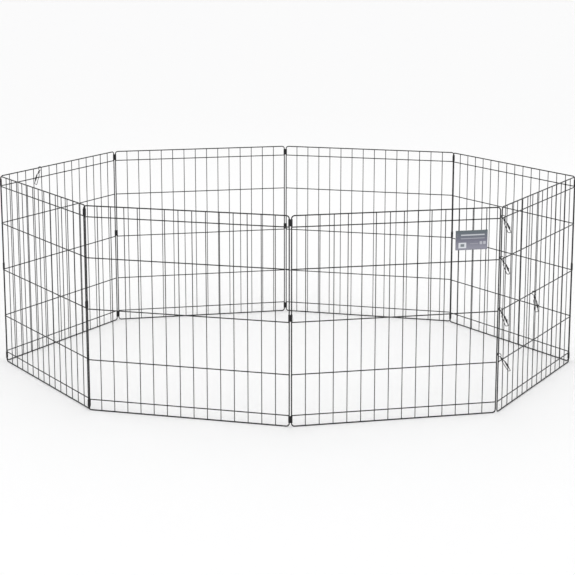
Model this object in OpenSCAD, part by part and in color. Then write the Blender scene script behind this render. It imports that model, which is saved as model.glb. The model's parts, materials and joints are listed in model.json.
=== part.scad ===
// Folding wire exercise pen for pets: eight square panels standing in a ring.
// Sheet-metal clips hinge the panels at seven corners, each fixed to one panel. The eighth corner opens,
// and wire snaps hang there to close it. The origin is on the floor at the middle of
// the ring, +X runs along the ring's longest side and +Z is up.
// Each panel has its own frame: X along the bottom rail, -Y towards the outside.

/* [Panels] */
// Width of one panel over its end posts
panel_w = 610; // [560:5:760]
// Height of one panel over its rails
panel_h = 610; // [580:5:900]
// Diameter of the bent frame wire, which makes the rails and the posts
frame_d = 3.6; // [3.4:0.1:3.6]
// Diameter of the horizontal cross wires
cross_d = 3.2; // [2.8:0.1:3.2]
// Diameter of the upright wires
upright_d = 2.5; // [2:0.1:2.5]
// Radius of the frame's bent corners, at the middle of the wire
bend_r = 9; // [7:0.5:9]
// Spaces between the uprights of one panel
bays = 15; // [12:1:16]

/* [Ring] */
// Turn at the corners between panels 1 and 2, and panels 5 and 6
turn_a = 63; // [60:1:63]
// Turn at the corners between panels 2 and 3, and panels 6 and 7
turn_b = 42; // [40:1:44]
// Turn at the corners between panels 3 and 4, and panels 7 and 8
turn_c = 27; // [26:1:30]
// Direction in which panel 1 runs, counted from +X
first_heading = 60.5; // [60:0.5:61]
// Distance between the two posts that stand side by side at a corner
post_pitch = 6.6; // [6.6:0.1:7]
// How far the clips stand out from the line of the panel before them, where two panels fold back to back
stand_out = 60; // [60:1:75]

/* [Hinge clips] */
// Height of one clip
clip_h = 20; // [16:1:20]
// Thickness of the clip's sheet metal
clip_t = 0.9; // [0.7:0.1:0.9]

/* [Snaps] */
// Diameter of the snap's bent wire
snap_d = 2; // [1.8:0.1:2]
// Radius of the snap's eye, at the middle of the wire
eye_r = 6.1; // [6.1:0.1:6.2]
// Length from the middle of the eye to the far bar of the hook
hook_reach = 58; // [58:1:60]
// Distance from the snap's centreline to each leg of the hook
leg_x = 4.6; // [4.6:0.1:5]
// How far a corner snap stands off the posts, counted from straight down
corner_lift = 50; // [48:1:54]

/* [Label] */
// Width of the folded card
card_w = 95; // [70:5:100]
// Height of the folded card
card_h = 56; // [40:2:70]
// Thickness of one leaf of the card
card_t = 0.4; // [0.3:0.05:0.4]

/* [Hidden] */
$fn = 48;
black = [0.07, 0.07, 0.075];
soft_black = [0.14, 0.14, 0.15];
zinc = [0.35, 0.36, 0.38];
paper = [0.72, 0.76, 0.83];

// Panels
span = panel_w - frame_d;
low_rail = frame_d / 2;
high_rail = panel_h - frame_d / 2;
rise = high_rail - low_rail;
bay = span / bays;
// The cross wires lie on the outside of the uprights, and each weld sinks in by this much
weld_sink = 0.1;
upright_y = 1.55;
cross_y = upright_y - upright_d / 2 - cross_d / 2 + weld_sink;
// The cross wires: two close to the rails, the others at the quarters of the height
near_rail = 31.9;
cross_drops = [near_rail, rise / 4, rise / 2, rise * 3 / 4, rise - near_rail];

// Ring: the second half repeats the first, turned by half a turn
turns = [turn_a, turn_b, turn_c, 180 - turn_a - turn_b - turn_c];
function turn_after(n) = turns[(n - 1) % 4];
function heading(n) = n == 1 ? first_heading : heading(n - 1) + turn_after(n - 1);
// The clips after panels 2 and 6 stand out, so that the panels can fold back to back; the others halve the corner
function clip_heading(n) = heading(n) + (n % 4 == 2 ? -stand_out : turn_after(n) / 2);
function along(angle) = [cos(angle), sin(angle), 0];
function walk_start(n) = n == 1 ? [0, 0, 0] : walk_end(n - 1) + post_pitch * along(clip_heading(n - 1));
function walk_end(n) = walk_start(n) + span * along(heading(n));
ring_middle = (walk_start(1) + walk_start(5)) / 2;
function panel_start(n) = walk_start(n) - ring_middle;
function panel_end(n) = walk_end(n) - ring_middle;

// Hinge clips: a running clearance round each post, and a slot between the two loops
clip_bore_r = frame_d / 2 + 0.1;
clip_outer_r = clip_bore_r + clip_t;
clip_slot = 1.6;
clip_seam = 0.6;
clip_gap = 0.3;
bend_gap = 1;
// Lower ends of the three clips: under the top bend, on the middle cross wire, over the low bend
clip_floors = [
    high_rail - bend_r - bend_gap - clip_h,
    high_rail - cross_drops[2] + cross_d / 2 + clip_gap,
    low_rail + bend_r + bend_gap
];

// Snaps: distances down from the middle of the eye
strand_x = 1.1;
ferrule_top = 11;
strand_end = 17;
spread_end = 24;
short_leg_end = 38;
hook_tip = 52;
elbow_r = 2.4;
knuckle_d = snap_d + 0.2;
ferrule_wall = 0.8;
ferrule_gap = 0.1;
ferrule_end = strand_end - knuckle_d / 2 - ferrule_gap;
sleeve_top = 33;
sleeve_end = 46;
sleeve_d = 5;
nose_d = 2.4;
nose_gap = 0.3;
bolt_clearance = 0.1;
// The bore goes this far past the leg's end, so that the bolt can slide up
bolt_room = 6.5;
spring_d = 4.4;
spring_gap = 0.6;
knob_top = 38;
knob_reach = 8.4;
knob_stem_d = 1.8;
knob_head_d = 3.4;
knob_head_t = 1.2;
// How far a cutting shape runs past a face, and a joined shape into its neighbour
past = 1;

// The corner snaps: their eyes hold panel 1's first post, clear of panel 8's last post
// Each row holds which cross wire is below the eye, the eye's height over it, and the directions
// of the body and of the eye's offset from the post
eye_offset = 3.1;
corner_snaps = [
    [0, 3.3, -72, 20],
    [1, 3.3, -72, 20],
    [2, 3.3, -72, 20],
    [3, 20, -55, 30]
];
// The two spare snaps: their eyes hang on a wire, and their bodies lean on the panel's outside
top_snap_x = 10 * bay + 4;
top_snap_lean = 20;
side_snap_x = 6.6 * bay;
side_snap_lean = 11;
eye_rest_gap = 0.1;

// Label card
card_x = 475;
card_z = 489;
staple_x = 5;
staple_d = 0.6;
staple_w = 9;

module on_panel(n) {
    translate(panel_start(n))
        rotate([0, 0, heading(n)])
            children();
}

// A straight wire along +X
module wire_x(d, length) {
    rotate([0, 90, 0])
        cylinder(d = d, h = length);
}

// A quarter bend in the XZ plane, from the angle first to first + 90 degrees
module bend_xz(d, r, first) {
    rotate([90, 0, 0])
        rotate_extrude(angle = 90, start = first)
            translate([r, 0])
                circle(d = d);
}

// One closed loop of wire: two rails, two posts and four bends
module panel_frame(n) {
    color(black)
        on_panel(n)
            union() {
                for (z = [low_rail, high_rail])
                    translate([bend_r, 0, z])
                        wire_x(frame_d, span - 2 * bend_r);
                for (x = [0, span])
                    translate([x, 0, low_rail + bend_r])
                        cylinder(d = frame_d, h = rise - 2 * bend_r);
                translate([bend_r, 0, low_rail + bend_r])
                    bend_xz(frame_d, bend_r, 180);
                translate([span - bend_r, 0, low_rail + bend_r])
                    bend_xz(frame_d, bend_r, 270);
                translate([span - bend_r, 0, high_rail - bend_r])
                    bend_xz(frame_d, bend_r, 0);
                translate([bend_r, 0, high_rail - bend_r])
                    bend_xz(frame_d, bend_r, 90);
            }
}

// Five horizontal wires, each cut to fit against the two posts
module panel_cross_wires(n) {
    color(black)
        on_panel(n)
            for (drop = cross_drops)
                difference() {
                    translate([0, cross_y, high_rail - drop])
                        wire_x(cross_d, span);
                    for (x = [0, span])
                        translate([x, 0, high_rail - drop - cross_d])
                            cylinder(d = frame_d, h = 2 * cross_d);
                }
}

// The inner uprights, each cut to fit against the two rails
module panel_uprights(n) {
    color(black)
        on_panel(n)
            for (k = [1:bays - 1])
                difference() {
                    translate([k * bay, upright_y, low_rail])
                        cylinder(d = upright_d, h = rise);
                    for (z = [low_rail, high_rail])
                        translate([k * bay - upright_d, 0, z])
                            wire_x(frame_d, 2 * upright_d);
                }
}

// One clip: sheet metal round both posts, pinched between them, with its seam on the inside
module hinge_clip() {
    difference() {
        union() {
            for (x = [0, post_pitch])
                translate([x, 0, 0])
                    cylinder(r = clip_outer_r, h = clip_h);
            translate([0, -clip_slot / 2 - clip_t, 0])
                cube([post_pitch, clip_slot + 2 * clip_t, clip_h]);
        }
        for (x = [0, post_pitch])
            translate([x, 0, -past])
                cylinder(r = clip_bore_r, h = clip_h + 2 * past);
        translate([0, -clip_slot / 2, -past])
            cube([post_pitch, clip_slot, clip_h + 2 * past]);
        translate([post_pitch / 2 - clip_seam / 2, 0, -past])
            cube([clip_seam, clip_outer_r, clip_h + 2 * past]);
    }
}

// The clips at the corner between panel n and the next one
module hinge_clips(n) {
    color(soft_black)
        translate(panel_end(n))
            rotate([0, 0, clip_heading(n)])
                for (z = clip_floors)
                    translate([0, 0, z])
                        hinge_clip();
}

// Puts a snap where it hangs: the middle of its eye is the origin and its body runs down -Z
module on_snap(k) {
    if (k <= 4) {
        row = corner_snaps[k - 1];
        eye_z = high_rail - cross_drops[row[0]] + row[1];
        translate(panel_start(1) + eye_offset * along(row[3]) + [0, 0, eye_z])
            rotate([0, 0, row[2] - 90])
                rotate([corner_lift, 0, 0])
                    children();
    }
    if (k == 5)
        on_panel(5)
            translate([top_snap_x, 0, high_rail])
                hung_on(frame_d / 2, top_snap_lean)
                    rotate([0, 0, 180])
                        children();
    if (k == 6)
        on_panel(1)
            translate([side_snap_x, cross_y, high_rail - cross_drops[2]])
                hung_on(cross_d / 2, side_snap_lean)
                    rotate([0, 0, 180])
                        children();
}

// Hangs an eye on a wire of radius r that runs along X, with the body leaning towards -Y
module hung_on(r, lean) {
    rotate([0, 0, -90])
        rotate([0, -lean, 0])
            translate([0, 0, -(eye_r - snap_d / 2 - r - eye_rest_gap)])
                children();
}

// One bent wire: a closed eye, two strands in the ferrule, a short leg and the squared hook
module snap_wire(k) {
    spread_angle = atan2(leg_x - strand_x, spread_end - strand_end);
    spread_run = norm([leg_x - strand_x, spread_end - strand_end]);
    color(black)
        on_snap(k)
            union() {
                rotate([90, 0, 0])
                    rotate_extrude()
                        translate([eye_r, 0])
                            circle(d = snap_d);
                for (side = [-1, 1]) {
                    translate([side * strand_x, 0, -strand_end])
                        cylinder(d = snap_d, h = strand_end - eye_r);
                    translate([side * strand_x, 0, -strand_end])
                        sphere(d = knuckle_d);
                    translate([side * strand_x, 0, -strand_end])
                        rotate([0, 180 - side * spread_angle, 0])
                            cylinder(d = snap_d, h = spread_run);
                    translate([side * leg_x, 0, -spread_end])
                        sphere(d = knuckle_d);
                }
                translate([-leg_x, 0, -short_leg_end])
                    cylinder(d = snap_d, h = short_leg_end - spread_end);
                translate([leg_x, 0, -hook_reach + elbow_r])
                    cylinder(d = snap_d, h = hook_reach - elbow_r - spread_end);
                translate([leg_x - elbow_r, 0, -hook_reach + elbow_r])
                    bend_xz(snap_d, elbow_r, 270);
                translate([-leg_x + elbow_r, 0, -hook_reach])
                    wire_x(snap_d, 2 * (leg_x - elbow_r));
                translate([-leg_x + elbow_r, 0, -hook_reach + elbow_r])
                    bend_xz(snap_d, elbow_r, 180);
                translate([-leg_x, 0, -hook_reach + elbow_r])
                    cylinder(d = snap_d, h = hook_reach - elbow_r - hook_tip);
            }
}

// A flattened sleeve pressed round the two strands under the eye
module snap_ferrule(k) {
    ferrule_h = ferrule_end - ferrule_top;
    ferrule_d = snap_d + 2 * ferrule_wall;
    color(soft_black)
        on_snap(k)
            translate([0, 0, -ferrule_end])
                difference() {
                    union() {
                        for (side = [-1, 1])
                            translate([side * strand_x, 0, 0])
                                cylinder(d = ferrule_d, h = ferrule_h);
                        translate([-strand_x, -ferrule_d / 2, 0])
                            cube([2 * strand_x, ferrule_d, ferrule_h]);
                    }
                    for (side = [-1, 1])
                        translate([side * strand_x, 0, -past])
                            cylinder(d = snap_d, h = ferrule_h + 2 * past);
                }
}

// The sliding bolt: a sleeve on the short leg, a nose that meets the hook's tip, and a thumb knob
module snap_bolt(k) {
    bore_end = short_leg_end + bolt_room;
    color(soft_black)
        on_snap(k)
            translate([-leg_x, 0, 0])
                difference() {
                    union() {
                        translate([0, 0, -sleeve_end])
                            cylinder(d = sleeve_d, h = sleeve_end - sleeve_top);
                        translate([0, 0, -hook_tip + nose_gap])
                            cylinder(d = nose_d, h = hook_tip - nose_gap - sleeve_end + past);
                        translate([-knob_reach + leg_x, 0, -knob_top])
                            wire_x(knob_stem_d, knob_reach - leg_x);
                        translate([-knob_reach + leg_x - knob_head_t / 2, 0, -knob_top])
                            wire_x(knob_head_d, knob_head_t);
                    }
                    translate([0, 0, -bore_end])
                        cylinder(d = snap_d + 2 * bolt_clearance, h = bore_end);
                }
}

// The coil spring above the bolt, as the plain sleeve that its turns fill
module snap_spring(k) {
    color(zinc)
        on_snap(k)
            translate([-leg_x, 0, -sleeve_top])
                difference() {
                    cylinder(d = spring_d, h = sleeve_top - spread_end - spring_gap);
                    translate([0, 0, -past])
                        cylinder(d = snap_d + 2 * bolt_clearance, h = sleeve_top);
                }
}

// The legs of the two staples at the card's open edge, and the slots that they make
module staple_legs(reach) {
    for (z = [card_h / 4, card_h * 3 / 4])
        for (side = [-1, 1])
            translate([staple_x, -card_t, z + side * (staple_w - staple_d) / 2 - staple_d / 2])
                cube([staple_d, reach, staple_d]);
}

module on_card() {
    on_panel(8)
        translate([card_x, upright_y - upright_d / 2, card_z])
            children();
}

// A printed card folded round the uprights: two leaves joined by a round fold
module label_card() {
    fold_r = upright_d / 2 + card_t;
    color(paper)
        on_card()
            difference() {
                union() {
                    for (y = [-card_t, upright_d])
                        translate([0, y, 0])
                            cube([card_w - fold_r, card_t, card_h]);
                    translate([card_w - fold_r, upright_d / 2, 0])
                        difference() {
                            cylinder(r = fold_r, h = card_h);
                            translate([0, 0, -past])
                                cylinder(d = upright_d, h = card_h + 2 * past);
                            translate([-2 * fold_r, -fold_r, -past])
                                cube([2 * fold_r, 2 * fold_r, card_h + 2 * past]);
                        }
                }
                staple_legs(upright_d + 2 * card_t);
            }
}

// Two staples of flat wire: a bar on the outer leaf, and legs that run through both leaves
module label_staples() {
    color(zinc)
        on_card()
            union() {
                for (z = [card_h / 4, card_h * 3 / 4])
                    translate([staple_x, -card_t - staple_d, z - staple_w / 2])
                        cube([staple_d, staple_d, staple_w]);
                staple_legs(upright_d + 2 * card_t + staple_d / 2);
            }
}

for (n = [1:8]) {
    panel_frame(n);
    panel_cross_wires(n);
    panel_uprights(n);
}
for (n = [1:7])
    hinge_clips(n);
for (n = [1:6]) {
    snap_wire(n);
    snap_ferrule(n);
    snap_bolt(n);
    snap_spring(n);
}
label_card();
label_staples();
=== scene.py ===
import json
from math import asin, atan2, cos, degrees, pi, radians, sin, sqrt

import bmesh
import bpy
from mathutils import Matrix, Vector

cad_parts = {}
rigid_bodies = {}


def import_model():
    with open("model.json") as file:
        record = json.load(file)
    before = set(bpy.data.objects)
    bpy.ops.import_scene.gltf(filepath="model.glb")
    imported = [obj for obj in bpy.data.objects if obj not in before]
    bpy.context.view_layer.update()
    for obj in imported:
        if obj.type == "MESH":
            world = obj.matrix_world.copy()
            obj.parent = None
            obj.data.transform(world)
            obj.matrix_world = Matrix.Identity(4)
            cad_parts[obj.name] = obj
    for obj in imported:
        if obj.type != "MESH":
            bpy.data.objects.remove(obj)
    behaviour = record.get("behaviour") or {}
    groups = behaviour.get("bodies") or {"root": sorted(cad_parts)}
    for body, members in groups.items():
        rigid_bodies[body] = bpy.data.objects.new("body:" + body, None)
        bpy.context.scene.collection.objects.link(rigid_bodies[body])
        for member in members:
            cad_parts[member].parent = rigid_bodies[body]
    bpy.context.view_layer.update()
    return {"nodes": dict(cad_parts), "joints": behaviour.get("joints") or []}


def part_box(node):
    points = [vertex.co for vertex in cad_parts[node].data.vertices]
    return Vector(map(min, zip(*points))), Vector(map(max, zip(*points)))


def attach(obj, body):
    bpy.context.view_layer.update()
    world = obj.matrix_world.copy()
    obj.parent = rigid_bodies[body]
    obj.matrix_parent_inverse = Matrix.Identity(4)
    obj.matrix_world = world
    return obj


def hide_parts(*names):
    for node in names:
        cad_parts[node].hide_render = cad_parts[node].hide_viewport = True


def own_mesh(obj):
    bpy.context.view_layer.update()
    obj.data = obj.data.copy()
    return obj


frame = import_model()
print("frame loaded:", len(frame["nodes"]), "nodes")

view = {
    "distance": 4.90,   # from the middle of the pen, along the floor
    "height": 1.414,
    "azimuth": 0.3,     # degrees round the pen from straight in front
    "pitch": 11.3,      # degrees down
    "lens": 98.0,
    "sensor": 36,
    "shiftY": -0.1,
    "farClip": 60,
}


def addCamera():
    camera = bpy.data.objects.new("camera", bpy.data.cameras.new("camera"))
    camera.data.lens = view["lens"]
    camera.data.sensor_width = view["sensor"]
    camera.data.shift_y = view["shiftY"]
    camera.data.clip_end = view["farClip"]
    turn = Matrix.Rotation(radians(view["azimuth"]), 4, "Z")
    place = Matrix.Translation((0, -view["distance"], view["height"]))
    camera.matrix_world = turn @ place @ Matrix.Rotation(radians(90 - view["pitch"]), 4, "X")
    bpy.context.scene.collection.objects.link(camera)
    bpy.context.scene.camera = camera


studio = {
    "worldStrength": 1.0,
    "floorSize": 90.0,
    "floorColour": (0.965, 0.965, 0.967, 1),
    "floorRoughness": 0.9,
    "floorSpecular": 0.1,
    "aim": (0, 0, 0.3),    # the point that the lights face
    # where each soft light stands, its size and its power
    "lights": [((-2.6, -3.4, 3.0), 1.6, 7), ((3.2, -2.0, 3.2), 1.6, 5), ((0.5, 3.4, 3.4), 2.0, 5)],
}


def addStudio():
    world = bpy.data.worlds.new("studio")
    world.use_nodes = True
    sky = world.node_tree.nodes["Background"]
    sky.inputs["Color"].default_value = (1, 1, 1, 1)
    sky.inputs["Strength"].default_value = studio["worldStrength"]
    bpy.context.scene.world = world
    for at, size, power in studio["lights"]:
        lamp = bpy.data.lights.new("softBox", "AREA")
        lamp.shape = "DISK"
        lamp.size = size
        lamp.energy = power
        light = bpy.data.objects.new("softBox", lamp)
        light.location = at
        light.rotation_euler = (Vector(studio["aim"]) - Vector(at)).to_track_quat("-Z", "Y").to_euler()
        bpy.context.scene.collection.objects.link(light)
    bm = bmesh.new()
    bmesh.ops.create_grid(bm, x_segments=1, y_segments=1, size=studio["floorSize"] / 2)
    mesh = bpy.data.meshes.new("floor")
    bm.to_mesh(mesh)
    bm.free()
    floor = bpy.data.objects.new("floor", mesh)
    paint = bpy.data.materials.new("paleFloor")
    paint.use_nodes = True
    shader = paint.node_tree.nodes["Principled BSDF"]
    shader.inputs["Base Color"].default_value = studio["floorColour"]
    shader.inputs["Roughness"].default_value = studio["floorRoughness"]
    shader.inputs["Specular IOR Level"].default_value = studio["floorSpecular"]
    mesh.materials.append(paint)
    bpy.context.scene.collection.objects.link(floor)
    bpy.context.scene.view_settings.view_transform = "Standard"


addCamera()
addStudio()
print("camera and studio ready")


def newMaterial(name):
    material = bpy.data.materials.new(name)
    material.use_nodes = True
    tree = material.node_tree
    return material, tree, tree.nodes["Principled BSDF"]


def addNode(tree, kind, **inputs):
    node = tree.nodes.new(kind)
    for key, value in inputs.items():
        node.inputs[key.replace("_", " ")].default_value = value
    return node


def addNoise(tree, scale, detail=3.0, roughness=0.55, source=None):
    coordinates = source or tree.nodes.new("ShaderNodeTexCoord").outputs["Object"]
    texture = addNode(tree, "ShaderNodeTexNoise", Scale=scale, Detail=detail, Roughness=roughness)
    tree.links.new(coordinates, texture.inputs["Vector"])
    return texture.outputs["Fac"]


def addRamp(tree, value, stops):
    ramp = tree.nodes.new("ShaderNodeValToRGB")
    elements = ramp.color_ramp.elements
    while len(elements) < len(stops):
        elements.new(0.5)
    for element, (position, colour) in zip(elements, stops):
        element.position = position
        element.color = (*colour, 1)
    tree.links.new(value, ramp.inputs["Fac"])
    return ramp.outputs["Color"]


def addRange(tree, value, low, high):
    scaled = addNode(tree, "ShaderNodeMapRange", To_Min=low, To_Max=high)
    tree.links.new(value, scaled.inputs["Value"])
    return scaled.outputs["Result"]


def addBump(tree, shader, height, strength, depth):
    bump = addNode(tree, "ShaderNodeBump", Strength=strength, Distance=depth)
    tree.links.new(height, bump.inputs["Height"])
    tree.links.new(bump.outputs["Normal"], shader.inputs["Normal"])


coating = {
    # finish: darkest and lightest colour, roughness from and to, grain in features per metre, coat
    "wireCoat": ((0.004, 0.004, 0.005), (0.010, 0.010, 0.011), 0.34, 0.50, 1400, 0.0),
    "clipCoat": ((0.005, 0.005, 0.006), (0.013, 0.013, 0.014), 0.40, 0.58, 1100, 0.0),
    "snapCoat": ((0.004, 0.004, 0.005), (0.010, 0.010, 0.011), 0.26, 0.42, 1800, 0.15),
}
coatTexture = {
    "patches": 45,          # features per metre of the patches in the colour
    "wear": 160,            # and of those in the gloss
    "grainStrength": 0.35,
    "grainDepth": 0.00012,
    "coatRoughness": 0.18,
    "specular": 0.35,
}


def coatedSteel(name):
    darkest, lightest, smoothest, roughest, grain, coat = coating[name]
    material, tree, shader = newMaterial(name)
    colour = addRamp(tree, addNoise(tree, coatTexture["patches"], 4), [(0.35, darkest), (0.7, lightest)])
    tree.links.new(colour, shader.inputs["Base Color"])
    gloss = addRange(tree, addNoise(tree, coatTexture["wear"], 5), smoothest, roughest)
    tree.links.new(gloss, shader.inputs["Roughness"])
    addBump(tree, shader, addNoise(tree, grain, 2), coatTexture["grainStrength"], coatTexture["grainDepth"])
    shader.inputs["Coat Weight"].default_value = coat
    shader.inputs["Coat Roughness"].default_value = coatTexture["coatRoughness"]
    shader.inputs["Specular IOR Level"].default_value = coatTexture["specular"]
    return material


bareWire = {
    # finish: dark and light colour, roughness from and to
    "springWire": ((0.05, 0.05, 0.055), (0.11, 0.11, 0.12), 0.26, 0.46),
    "stapleWire": ((0.42, 0.42, 0.44), (0.62, 0.62, 0.64), 0.20, 0.40),
}
bareTexture = {
    "patches": 300,         # features per metre
    "wear": 900,
    "scratches": 2600,
    "scratchStrength": 0.25,
    "scratchDepth": 0.00005,
}


def bareSteel(name):
    # drawn wire: fine scratches and a few duller patches
    dark, light, smoothest, roughest = bareWire[name]
    material, tree, shader = newMaterial(name)
    colour = addRamp(tree, addNoise(tree, bareTexture["patches"], 5), [(0.35, dark), (0.65, light)])
    tree.links.new(colour, shader.inputs["Base Color"])
    gloss = addRange(tree, addNoise(tree, bareTexture["wear"], 4), smoothest, roughest)
    tree.links.new(gloss, shader.inputs["Roughness"])
    scratches = addNoise(tree, bareTexture["scratches"], 2)
    addBump(tree, shader, scratches, bareTexture["scratchStrength"], bareTexture["scratchDepth"])
    shader.inputs["Metallic"].default_value = 1.0
    return material


def between(tree, value, low, high):
    # 1 from low to high and 0 outside, with an edge as soft as ink
    soft = 0.004
    rise = addNode(tree, "ShaderNodeMapRange", From_Min=low - soft, From_Max=low + soft)
    fall = addNode(
        tree, "ShaderNodeMapRange", From_Min=high - soft, From_Max=high + soft, To_Min=1.0, To_Max=0.0)
    tree.links.new(value, rise.inputs["Value"])
    tree.links.new(value, fall.inputs["Value"])
    return multiply(tree, rise.outputs["Result"], fall.outputs["Result"])


def multiply(tree, first, second):
    product = tree.nodes.new("ShaderNodeMath")
    product.operation = "MULTIPLY"
    for socket, value in zip(product.inputs, (first, second)):
        if isinstance(value, float):
            socket.default_value = value
        else:
            tree.links.new(value, socket)
    return product.outputs["Value"]


cardPrint = {
    "top": (0.050, 0.078, 0.096),
    "middle": (0.115, 0.115, 0.170),
    "foot": (0.235, 0.235, 0.300),
    "ink": (0.78, 0.80, 0.84),
    "inner": (0.62, 0.62, 0.60),
    # plain blocks of pale ink: left, right, bottom and top as shares of the card, and strength
    "blocks": [
        (0.16, 0.90, 0.735, 0.800, 0.62),
        (0.16, 0.90, 0.570, 0.610, 0.34),
        (0.09, 0.33, 0.100, 0.380, 0.80),
        (0.75, 0.83, 0.270, 0.420, 0.45),
        (0.86, 0.94, 0.270, 0.420, 0.45),
        (0.45, 0.70, 0.300, 0.330, 0.22),
    ],
    "picture": (0.15, 0.27, 0.17, 0.31),   # dark patch on the block at the lower left
    "pictureStrength": 0.85,
    "mottle": (0.9, 0.9, 0.9),
    "mottleStrength": 0.12,
    "gloss": (0.30, 0.46),                 # roughness from and to
    "coat": 0.2,
    "coatRoughness": 0.15,
    "backLeaf": (1.01, 3.0),               # where the pattern's sideways measure is past the fold
}


def printedCard():
    material, tree, shader = newMaterial("cardPrint")
    uv = tree.nodes.new("ShaderNodeUVMap")
    uv.uv_map = "card"
    axes = tree.nodes.new("ShaderNodeSeparateXYZ")
    tree.links.new(uv.outputs["UV"], axes.inputs["Vector"])
    across, upwards = axes.outputs["X"], axes.outputs["Y"]
    ground = [(0.05, cardPrint["foot"]), (0.5, cardPrint["middle"]), (0.95, cardPrint["top"])]
    colour = addRamp(tree, upwards, ground)
    for left, right, bottom, top, strength in cardPrint["blocks"]:
        block = multiply(tree, between(tree, across, left, right), between(tree, upwards, bottom, top))
        colour = mixColour(tree, multiply(tree, block, strength), colour, cardPrint["ink"])
    left, right, bottom, top = cardPrint["picture"]
    block = multiply(tree, between(tree, across, left, right), between(tree, upwards, bottom, top))
    colour = mixColour(tree, multiply(tree, block, cardPrint["pictureStrength"]), colour, cardPrint["top"])
    # the back leaf is unprinted
    colour = mixColour(tree, between(tree, across, *cardPrint["backLeaf"]), colour, cardPrint["inner"])
    mottle = multiply(tree, addNoise(tree, 420, 4), cardPrint["mottleStrength"])
    tree.links.new(mixColour(tree, mottle, colour, cardPrint["mottle"]), shader.inputs["Base Color"])
    tree.links.new(addRange(tree, addNoise(tree, 90, 3), *cardPrint["gloss"]), shader.inputs["Roughness"])
    addBump(tree, shader, addNoise(tree, 1500, 3), 0.15, 0.00008)
    shader.inputs["Coat Weight"].default_value = cardPrint["coat"]
    shader.inputs["Coat Roughness"].default_value = cardPrint["coatRoughness"]
    return material


def mixColour(tree, share, first, second):
    mix = tree.nodes.new("ShaderNodeMix")
    mix.data_type = "RGBA"
    tree.links.new(share, mix.inputs["Factor"])
    for socket, colour in zip((mix.inputs[6], mix.inputs[7]), (first, second)):
        if isinstance(colour, tuple):
            socket.default_value = (*colour, 1)
        else:
            tree.links.new(colour, socket)
    return mix.outputs[2]


materials = {name: coatedSteel(name) for name in coating}
materials.update({name: bareSteel(name) for name in bareWire})
materials["cardPrint"] = printedCard()
print("materials ready")


def basis(x, y, origin):
    z = x.cross(y)
    return Matrix.Translation(origin) @ Matrix((x, y, z)).transposed().to_4x4()


def findPosts():
    # each corner's joint turns on the first post of the panel with the higher number
    posts = {}
    for joint in frame["joints"]:
        ends = [joint["parent"], joint["child"]]
        if all(name.startswith("panel_") for name in ends):
            number = max(int(name.split("_")[1]) for name in ends)
            posts[number] = {"first": Vector(joint["pos_m"])}
    # the ring's second half is its first, turned by half a turn
    posts[1] = {"first": -posts[5]["first"]}
    for number, pair in posts.items():
        low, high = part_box(f"panel_{number}_frame")
        middle = (low + high) / 2
        middle.z = 0
        pair["last"] = 2 * middle - pair["first"]
    return posts


posts = findPosts()
up = Vector((0, 0, 1))


def panelPlace(number):
    across = (posts[number]["last"] - posts[number]["first"]).normalized()
    return basis(across, up.cross(across), posts[number]["first"])


def jointNamed(name):
    return next(joint for joint in frame["joints"] if joint["name"] == name)


class Former:
    # Bends a wire or a strip the way a forming machine does. The stock leaves along the tip's Z,
    # and a bend turns it towards the tip's X (left) or away from it (right).
    def __init__(self, bm, place):
        self.bm = bm
        self.tip = place.copy()
        self.stock = []

    def wire(self, radius, facets):
        made = bmesh.ops.create_circle(
            self.bm, cap_ends=True, radius=radius, segments=facets, matrix=self.tip)
        self.stock = list(made["verts"][0].link_faces)
        return self

    def strip(self, height, cuts):
        # a strip on edge: its height runs along the tip's Y
        corners = [self.bm.verts.new(self.tip @ Vector((0, height * k / cuts, 0))) for k in range(cuts + 1)]
        self.stock = [self.bm.edges.new(pair) for pair in zip(corners, corners[1:])]
        return self

    def step(self, steps, angle, centre, slide):
        axis = self.tip.to_3x3() @ Vector((0, 1, 0))
        made = bmesh.ops.spin(
            self.bm, geom=self.stock, cent=centre, axis=axis, dvec=slide, angle=angle,
            steps=steps, use_duplicate=False)
        kind = type(self.stock[0])
        self.stock = [part for part in made["geom_last"] if isinstance(part, kind)]

    def run(self, length, steps=1):
        ahead = self.tip.to_3x3() @ Vector((0, 0, length))
        self.step(steps, 0.0, self.tip.translation, ahead / steps)
        self.tip = Matrix.Translation(ahead) @ self.tip
        return self

    def bend(self, radius, turn, steps=0):
        # turn is in degrees, positive to the left
        side = radius if turn > 0 else -radius
        centre = self.tip @ Vector((side, 0, 0))
        axis = self.tip.to_3x3() @ Vector((0, 1, 0))
        self.step(steps or max(2, round(abs(turn) / 12)), radians(turn), centre, (0, 0, 0))
        rotation = Matrix.Rotation(radians(turn), 4, axis)
        self.tip = Matrix.Translation(centre) @ rotation @ Matrix.Translation(-centre) @ self.tip
        return self

    def size(self, factor):
        # draws the last section in or lets it swell
        verts = {v for part in self.stock for v in part.verts}
        middle = self.tip.translation
        bmesh.ops.scale(self.bm, verts=list(verts), vec=(factor,) * 3, space=Matrix.Translation(-middle))
        return self


def finishPiece(name, bm, material, body, nodes=(), sharp=35):
    bmesh.ops.recalc_face_normals(bm, faces=bm.faces)
    mesh = bpy.data.meshes.new(name)
    bm.to_mesh(mesh)
    bm.free()
    mesh.materials.append(material)
    for face in mesh.polygons:
        face.use_smooth = True
    mesh.set_sharp_from_angle(angle=radians(sharp))
    piece = bpy.data.objects.new(name, mesh)
    bpy.context.scene.collection.objects.link(piece)
    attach(piece, body)
    if nodes:
        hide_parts(*nodes)
    return piece


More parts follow.
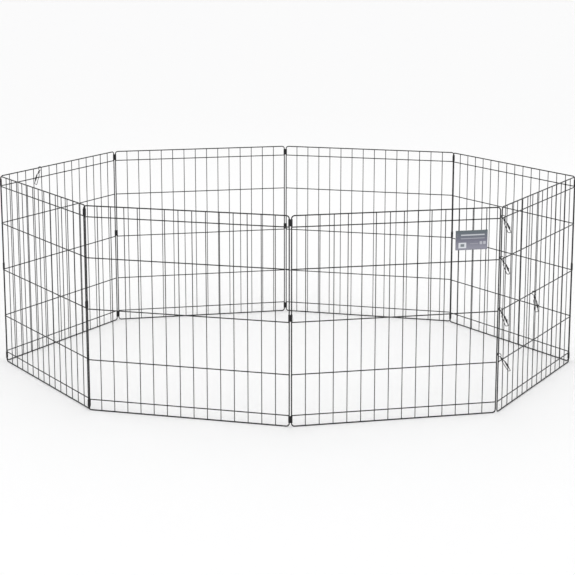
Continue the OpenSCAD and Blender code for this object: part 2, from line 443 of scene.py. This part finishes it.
pen = {
    "frameWire": 0.0036,
    "crossWire": 0.0032,
    "uprightWire": 0.0025,
    "bendRadius": 0.009,
    "bays": 15,
    "crossY": -0.0012,     # the cross wires stand outside the frame's plane
    "uprightY": 0.00155,   # the uprights stand inside it
    "nearRail": 0.0319,    # from a rail to the cross wire beside it
    "overlap": 0.0007,     # how far a wire's end runs past the middle of the wire it is welded to
    "endBevel": 0.0003,
    "facets": 16,
    "uprightFacets": 12,
}

low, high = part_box("panel_1_frame")
lowRail = low.z + pen["frameWire"] / 2
highRail = high.z - pen["frameWire"] / 2
rise = highRail - lowRail
span = (posts[1]["last"] - posts[1]["first"]).length
bay = span / pen["bays"]
crossLevels = [
    highRail - pen["nearRail"],
    highRail - rise / 4,
    highRail - rise / 2,
    highRail - rise * 3 / 4,
    lowRail + pen["nearRail"],
]


def bentFrame(bm, place):
    # one loop of wire that starts and ends at the butt weld in the bottom rail
    r = pen["bendRadius"]
    weldAt = span / 2
    start = place @ basis(up, Vector((0, -1, 0)), Vector((weldAt, 0, lowRail)))
    wire = Former(bm, start).wire(pen["frameWire"] / 2, pen["facets"])
    wire.run(span - weldAt - r, 6).bend(r, 90, 8).run(rise - 2 * r, 12).bend(r, 90, 8)
    wire.run(span - 2 * r, 12).bend(r, 90, 8).run(rise - 2 * r, 12).bend(r, 90, 8).run(weldAt - r, 6)


def straightWire(bm, place, radius, length, facets):
    # a straight length with a bevelled cut at each end
    bevel = pen["endBevel"]
    wire = Former(bm, place).wire(radius - bevel, facets)
    wire.run(bevel).size(radius / (radius - bevel)).run(length - 2 * bevel, 8)
    wire.run(bevel).size((radius - bevel) / radius)


def crossWires(bm, place):
    overlap = pen["overlap"]
    for level in crossLevels:
        along = basis(up, Vector((0, -1, 0)), Vector((-overlap, pen["crossY"], level)))
        straightWire(bm, place @ along, pen["crossWire"] / 2, span + 2 * overlap, pen["facets"])


def uprightWires(bm, place):
    overlap = pen["overlap"]
    for k in range(1, pen["bays"]):
        stand = Matrix.Translation((k * bay, pen["uprightY"], lowRail - overlap))
        straightWire(bm, place @ stand, pen["uprightWire"] / 2, rise + 2 * overlap, pen["uprightFacets"])


weld = {
    # half sizes of the squeezed metal: along the panel, through it and up
    "crossing": (0.00185, 0.0007, 0.00185),
    "atRail": (0.0018, 0.0012, 0.0011),
    "atPost": (0.0011, 0.0012, 0.0021),
    "butt": (0.0008, 0.00195, 0.00195),
    "railY": 0.0013,        # inside the frame's plane
    "railIn": 0.0012,       # from the rail's middle into the panel
    "postY": -0.0010,
    "postIn": 0.0013,
    "buttLift": 0.00015,    # keeps the flash off the floor
}


def nugget(bm, place, at, size):
    squash = place @ Matrix.Translation(at) @ Matrix.Diagonal((*size, 1))
    bmesh.ops.create_icosphere(bm, subdivisions=2, radius=1, matrix=squash)


def weldNuggets(bm, place):
    # the squeezed metal where two wires were welded
    midway = (pen["crossY"] + pen["crossWire"] / 2 + pen["uprightY"] - pen["uprightWire"] / 2) / 2
    for k in range(1, pen["bays"]):
        for level in crossLevels:
            nugget(bm, place, (k * bay, midway, level), weld["crossing"])
        for level, side in ((lowRail, 1), (highRail, -1)):
            nugget(bm, place, (k * bay, weld["railY"], level + side * weld["railIn"]), weld["atRail"])
    for level in crossLevels:
        for x, side in ((0, 1), (span, -1)):
            nugget(bm, place, (x + side * weld["postIn"], weld["postY"], level), weld["atPost"])
    # the flash of the frame's own butt weld
    nugget(bm, place, (span / 2, 0, lowRail + weld["buttLift"]), weld["butt"])


def buildPanel(number):
    place = panelPlace(number)
    body = f"panel_{number}"
    parts = [
        ("bentFrame", bentFrame, ["frame"]),
        ("crossWires", crossWires, ["cross_wires"]),
        ("uprights", uprightWires, ["uprights"]),
        ("welds", weldNuggets, []),
    ]
    for label, build, nodes in parts:
        bm = bmesh.new()
        build(bm, place)
        names = [f"{body}_{node}" for node in nodes]
        finishPiece(f"{label}_{number}", bm, materials["wireCoat"], body, names)


for number in range(1, 9):
    buildPanel(number)
print("panels ready")

clip = {
    "height": 0.020,
    "sheet": 0.0009,
    "bore": 0.0019,       # radius of the loop's inside
    "slot": 0.0016,       # between the two leaves
    "seam": 0.0006,       # gap where the strip's ends meet
    "neck": 0.0008,       # radius of the small bends beside each loop
    "overWire": 0.0003,   # from the middle cross wire up to the clip
    "edge": 0.00014,      # bevel on the sheet's edges
}


def bendClip(bm, place, pitch):
    loop = clip["bore"] + clip["sheet"] / 2
    leaf = clip["slot"] / 2 + clip["sheet"] / 2
    reach = sqrt((loop + clip["neck"]) ** 2 - (leaf + clip["neck"]) ** 2)
    turn = degrees(asin(reach / (loop + clip["neck"])))
    half = (pitch - clip["seam"]) / 2
    start = basis(Vector((0, -1, 0)), up, Vector((half, leaf, 0)))
    strip = Former(bm, place @ start).strip(clip["height"], 3)
    strip.run(half - reach, 2)
    for straight in (pitch - 2 * reach, half - reach):
        strip.bend(clip["neck"], -turn, 4).bend(loop, 180 + 2 * turn, 26).bend(clip["neck"], -turn, 4)
        strip.run(straight, 2)


def clipPlace(number):
    post = posts[number]["last"]
    across = posts[number + 1]["first"] - post
    return basis(across.normalized(), up.cross(across.normalized()), post), across.length


def buildClips(number):
    place, pitch = clipPlace(number)
    node = f"hinge_clips_{number}_{number + 1}"
    low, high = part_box(node)
    bm = bmesh.new()
    midLevel = crossLevels[2] + pen["crossWire"] / 2 + clip["overWire"]
    for level in (low.z, midLevel, high.z - clip["height"]):
        bendClip(bm, place @ Matrix.Translation((0, 0, level)), pitch)
    piece = finishPiece(
        f"clips_{number}_{number + 1}", bm, materials["clipCoat"], f"panel_{number}", [node])
    wall = piece.modifiers.new("sheet", "SOLIDIFY")
    wall.thickness = clip["sheet"]
    wall.offset = 0
    wall.use_even_offset = True
    edge = piece.modifiers.new("edge", "BEVEL")
    edge.width = clip["edge"]
    edge.segments = 2
    edge.limit_method = "ANGLE"
    edge.angle_limit = radians(50)


for number in range(1, 8):
    buildClips(number)
print("hinge clips ready")

snap = {
    "wire": 0.002,
    "facets": 12,
    "eye": 0.0061,         # radius at the middle of the wire
    "shoulder": 0.0022,    # radius where the eye runs into the two strands
    "strand": 0.0011,      # from the centreline to each strand
    "leg": 0.0046,         # from the centreline to each leg of the hook
    "strandEnd": 0.017,    # the next values are distances down from the middle of the eye
    "spreadEnd": 0.024,
    "shortLegEnd": 0.038,
    "reach": 0.058,
    "tip": 0.052,
    "elbow": 0.0024,
    "eyeGap": 0.0001,      # between a spare snap's eye and the wire that it hangs on
    "endBevel": 0.0002,
}


def snapPlace(number):
    hinge = jointNamed(f"snap_{number}_swing")
    slide = Vector(jointNamed(f"snap_{number}_bolt_slide")["axis"]).normalized()
    axis = Vector(hinge["axis"]).normalized()
    origin = Vector(hinge["pos_m"])
    if number <= 4:
        return basis(axis, slide.cross(axis), origin)
    # a spare snap hangs by its eye, so it turns about the wire inside the eye
    held = pen["frameWire"] if number == 5 else pen["crossWire"]
    drop = snap["eye"] - snap["wire"] / 2 - held / 2 - snap["eyeGap"]
    return basis(axis.cross(slide), axis, origin - drop * slide)


def snapWire(bm, place):
    # one length of wire: short leg, eye, long leg and squared hook
    sideways = snap["leg"] - snap["strand"]
    downwards = snap["spreadEnd"] - snap["strandEnd"]
    swerve = 2 * degrees(atan2(sideways, downwards))
    swerveRadius = downwards / 2 / sin(radians(swerve))
    offset = snap["strand"] + snap["shoulder"]
    shoulderDrop = sqrt((snap["eye"] + snap["shoulder"]) ** 2 - offset ** 2)
    shoulderTurn = degrees(atan2(shoulderDrop, offset))
    strand = snap["strandEnd"] - shoulderDrop
    bevel = snap["endBevel"]
    radius = snap["wire"] / 2
    start = basis(Vector((-1, 0, 0)), Vector((0, -1, 0)), Vector((-snap["leg"], 0, -snap["shortLegEnd"])))
    wire = Former(bm, place @ start).wire(radius - bevel, snap["facets"])
    wire.run(bevel).size(radius / (radius - bevel))
    wire.run(snap["shortLegEnd"] - snap["spreadEnd"] - bevel, 3)
    wire.bend(swerveRadius, -swerve, 6).bend(swerveRadius, swerve, 6).run(strand, 3)
    wire.bend(snap["shoulder"], shoulderTurn, 8)
    wire.bend(snap["eye"], -(180 + 2 * shoulderTurn), 40)
    wire.bend(snap["shoulder"], shoulderTurn, 8).run(strand, 3)
    wire.bend(swerveRadius, swerve, 6).bend(swerveRadius, -swerve, 6)
    wire.run(snap["reach"] - snap["elbow"] - snap["spreadEnd"], 6)
    wire.bend(snap["elbow"], -90, 8).run(2 * (snap["leg"] - snap["elbow"]), 2).bend(snap["elbow"], -90, 8)
    wire.run(snap["reach"] - snap["elbow"] - snap["tip"] - bevel, 2)
    wire.run(bevel).size((radius - bevel) / radius)


def turned(bm, place, facets, profile):
    # profile: pairs of the distance along the part's axis and the radius there
    (at, radius), *rest = profile
    part = Former(bm, place @ Matrix.Translation((0, 0, at))).wire(radius, facets)
    for nextAt, nextRadius in rest:
        part.run(nextAt - at).size(nextRadius / radius)
        at, radius = nextAt, nextRadius


ferrule = {
    "top": 0.011,
    "bottom": 0.0158,
    "wall": 0.0008,
    # where the press left its grooves: share of the length, share of the full section
    "section": [(0, 0.93), (0.06, 1), (0.24, 1), (0.30, 0.94), (0.36, 0.94), (0.42, 1),
                (0.58, 1), (0.64, 0.94), (0.70, 0.94), (0.76, 1), (0.94, 1), (1, 0.93)],
}


def pressedFerrule(bm, place):
    radius = snap["wire"] / 2 + ferrule["wall"]
    length = ferrule["bottom"] - ferrule["top"]
    profile = [(at * length, radius * share) for at, share in ferrule["section"]]
    turned(bm, Matrix.Identity(4), 24, profile)
    for v in bm.verts:
        # the round section is drawn out to reach round both strands
        v.co.x += snap["strand"] * max(-1, min(1, v.co.x / (radius * 0.25)))
    bmesh.ops.transform(bm, verts=bm.verts, matrix=place @ Matrix.Translation((0, 0, -ferrule["bottom"])))


bolt = {
    "sleeve": 0.0025,       # outer radius
    "bore": 0.0011,
    "top": 0.033,           # distances down from the middle of the eye
    "boreEnd": 0.0445,
    "sleeveEnd": 0.046,
    "nose": 0.0012,         # radius
    "noseEnd": 0.0517,
    "knobAt": 0.038,
    "roll": 0.0003,         # rounding of the sleeve's edges
    "grooveFrom": 0.0016,   # below the sleeve's top
    "grooveTo": 0.0027,
    "grooveDepth": 0.0003,
    # the thumb knob's profile: distance out from the bolt's middle and radius
    "knob": [(0.0019, 0.00105), (0.0026, 0.0009), (0.0031, 0.0009), (0.0032, 0.0015), (0.0034, 0.0017),
             (0.0039, 0.0017), (0.0042, 0.0015), (0.00435, 0.0011), (0.0044, 0.0005)],
}


def turnedBolt(bm, place):
    roll, outer, bore = bolt["roll"], bolt["sleeve"], bolt["bore"]
    deep = bolt["grooveDepth"]
    upper, lower = bolt["top"] + bolt["grooveFrom"], bolt["top"] + bolt["grooveTo"]
    outline = [
        (0, bolt["boreEnd"]), (bore, bolt["boreEnd"]), (bore, bolt["top"] + roll), (bore + roll, bolt["top"]),
        (outer - roll, bolt["top"]), (outer, bolt["top"] + roll), (outer, upper),
        (outer - deep, upper + deep), (outer - deep, lower - deep), (outer, lower),
        (outer, bolt["sleeveEnd"] - 2 * roll),
        (outer - roll, bolt["sleeveEnd"] - roll / 2), (bolt["nose"] + roll, bolt["sleeveEnd"]),
        (bolt["nose"], bolt["sleeveEnd"] + roll), (bolt["nose"], bolt["noseEnd"] - roll),
        (bolt["nose"] - roll, bolt["noseEnd"]), (0, bolt["noseEnd"]),
    ]
    corners = [bm.verts.new((r, 0, -down)) for r, down in outline]
    edges = [bm.edges.new(pair) for pair in zip(corners, corners[1:])]
    bmesh.ops.spin(bm, geom=corners + edges, cent=(0, 0, 0), axis=(0, 0, 1), angle=2 * pi, steps=24,
                   use_merge=True, use_duplicate=False)
    bmesh.ops.remove_doubles(bm, verts=bm.verts, dist=1e-6)
    # the thumb knob sticks out to the side
    aside = basis(up, Vector((0, 1, 0)), Vector((0, 0, -bolt["knobAt"])))
    turned(bm, aside, 16, bolt["knob"])
    bmesh.ops.transform(bm, verts=bm.verts, matrix=place @ Matrix.Translation((-snap["leg"], 0, 0)))


coil = {
    "wire": 0.0007,
    "radius": 0.00185,
    "endTurns": 1.0,
    "endRise": 0.00075,     # rise of each closed end turn
    "turns": 4.5,
    "stepsPerTurn": 18,
    "top": 0.0246,          # distances down from the middle of the eye
    "bottom": 0.033,
}


def coilSpring(bm, place):
    thick = coil["wire"]
    rise = coil["bottom"] - coil["top"] - thick - 2 * coil["endRise"]
    foot = Vector((coil["radius"], 0, -coil["bottom"] + thick / 2))
    tip = place @ Matrix.Translation((-snap["leg"], 0, 0)) @ basis(Vector((-1, 0, 0)), up, foot)
    wire = Former(bm, tip).wire(thick / 2, 8)
    middle = tip @ Vector((coil["radius"], 0, 0))
    along = tip.to_3x3() @ Vector((0, 1, 0))
    closed = (coil["endTurns"], coil["endRise"])
    for turns, climb in (closed, (coil["turns"], rise), closed):
        steps = round(turns * coil["stepsPerTurn"])
        wire.step(steps, 2 * pi * turns, middle, along * climb / steps)
        middle = middle + along * climb


def buildSnap(number):
    place = snapPlace(number)
    body = f"snap_{number}"
    parts = [
        ("wire", snapWire, "snapCoat", body, "snap_steel"),
        ("ferrule", pressedFerrule, "clipCoat", body, "snap_steel"),
        ("bolt", turnedBolt, "snapCoat", f"{body}_bolt", "snap_steel"),
        ("spring", coilSpring, "springWire", body, "spring_steel"),
    ]
    for label, build, finish, rider, slotName in parts:
        bm = bmesh.new()
        build(bm, place)
        piece = finishPiece(f"{label}_{number}", bm, materials[finish], rider, [f"{body}_{label}"])
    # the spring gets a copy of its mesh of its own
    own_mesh(piece)


for number in range(1, 7):
    buildSnap(number)
print("snaps ready")

card = {
    "paper": 0.0004,
    "left": 0.475,         # from the panel's first post
    "width": 0.095,
    "bottom": 0.489,
    "height": 0.056,
    "bow": 0.0005,         # how far the front leaf bulges
    "stapleIn": 0.0053,    # from the open edge to the staples
    "stapleWire": 0.0006,
    "stapleWidth": 0.009,
    "stapleBend": 0.0004,
    "clinchShort": 0.0010,  # what the clinched ends lack of meeting in the middle
}


def foldedCard():
    place = panelPlace(8)
    across = pen["uprightWire"] / 2 + card["paper"] / 2
    straight = card["width"] - across - card["paper"] / 2
    front = pen["uprightY"] - across
    bm = bmesh.new()
    start = place @ basis(Vector((0, 1, 0)), up, Vector((card["left"], front, card["bottom"])))
    sheet = Former(bm, start).strip(card["height"], 10)
    sheet.run(straight, 20).bend(across, 180, 10).run(straight, 20)
    back = place.inverted()
    for v in bm.verts:
        at = back @ v.co
        if at.y < front + card["paper"]:
            share = max(0, min(1, (at.x - card["left"]) / straight))
            height = (at.z - card["bottom"]) / card["height"]
            bulge = card["bow"] * sin(pi * share) * (0.6 + 0.4 * cos(2 * pi * height))
            v.co -= place.to_3x3() @ Vector((0, bulge, 0))
    layer = bm.loops.layers.uv.new("card")
    for face in bm.faces:
        onFront = (back @ face.calc_center_median()).y < pen["uprightY"]
        for loop in face.loops:
            at = back @ loop.vert.co
            share = (at.x - card["left"]) / card["width"]
            # the back leaf's own measure runs on past the fold
            loop[layer].uv = (share if onFront else 2.2 - share, (at.z - card["bottom"]) / card["height"])
    piece = finishPiece(
        "printedCard", bm, materials["cardPrint"], "panel_8", ["label_card"], 60)
    wall = piece.modifiers.new("paper", "SOLIDIFY")
    wall.thickness = card["paper"]
    wall.offset = 0
    wall.use_even_offset = True


def bentStaples():
    bm = bmesh.new()
    place = panelPlace(8)
    radius = card["stapleWire"] / 2
    bendAt = card["stapleBend"]
    short = card["clinchShort"]
    front = pen["uprightY"] - pen["uprightWire"] / 2 - card["paper"] - radius
    clinch = pen["uprightY"] + pen["uprightWire"] / 2 + card["paper"] + radius
    for share in (0.25, 0.75):
        level = card["bottom"] + card["height"] * share
        half = card["stapleWidth"] / 2 - radius
        # from one clinched end, through both leaves, up the front and back again
        middle = Vector((card["left"] + card["stapleIn"], clinch, level))
        start = place @ basis(Vector((0, 1, 0)), Vector((1, 0, 0)), middle)
        wire = Former(bm, start @ Matrix.Translation((0, 0, short))).wire(radius, 8)
        wire.run(half - bendAt - short, 2).bend(bendAt, -90, 4).run(clinch - front - 2 * bendAt, 2)
        wire.bend(bendAt, -90, 4).run(2 * (half - bendAt), 4).bend(bendAt, -90, 4)
        wire.run(clinch - front - 2 * bendAt, 2).bend(bendAt, -90, 4).run(half - bendAt - short, 2)
    finishPiece("staples", bm, materials["stapleWire"], "panel_8", ["label_staples"])


foldedCard()
bentStaples()
print("card ready")
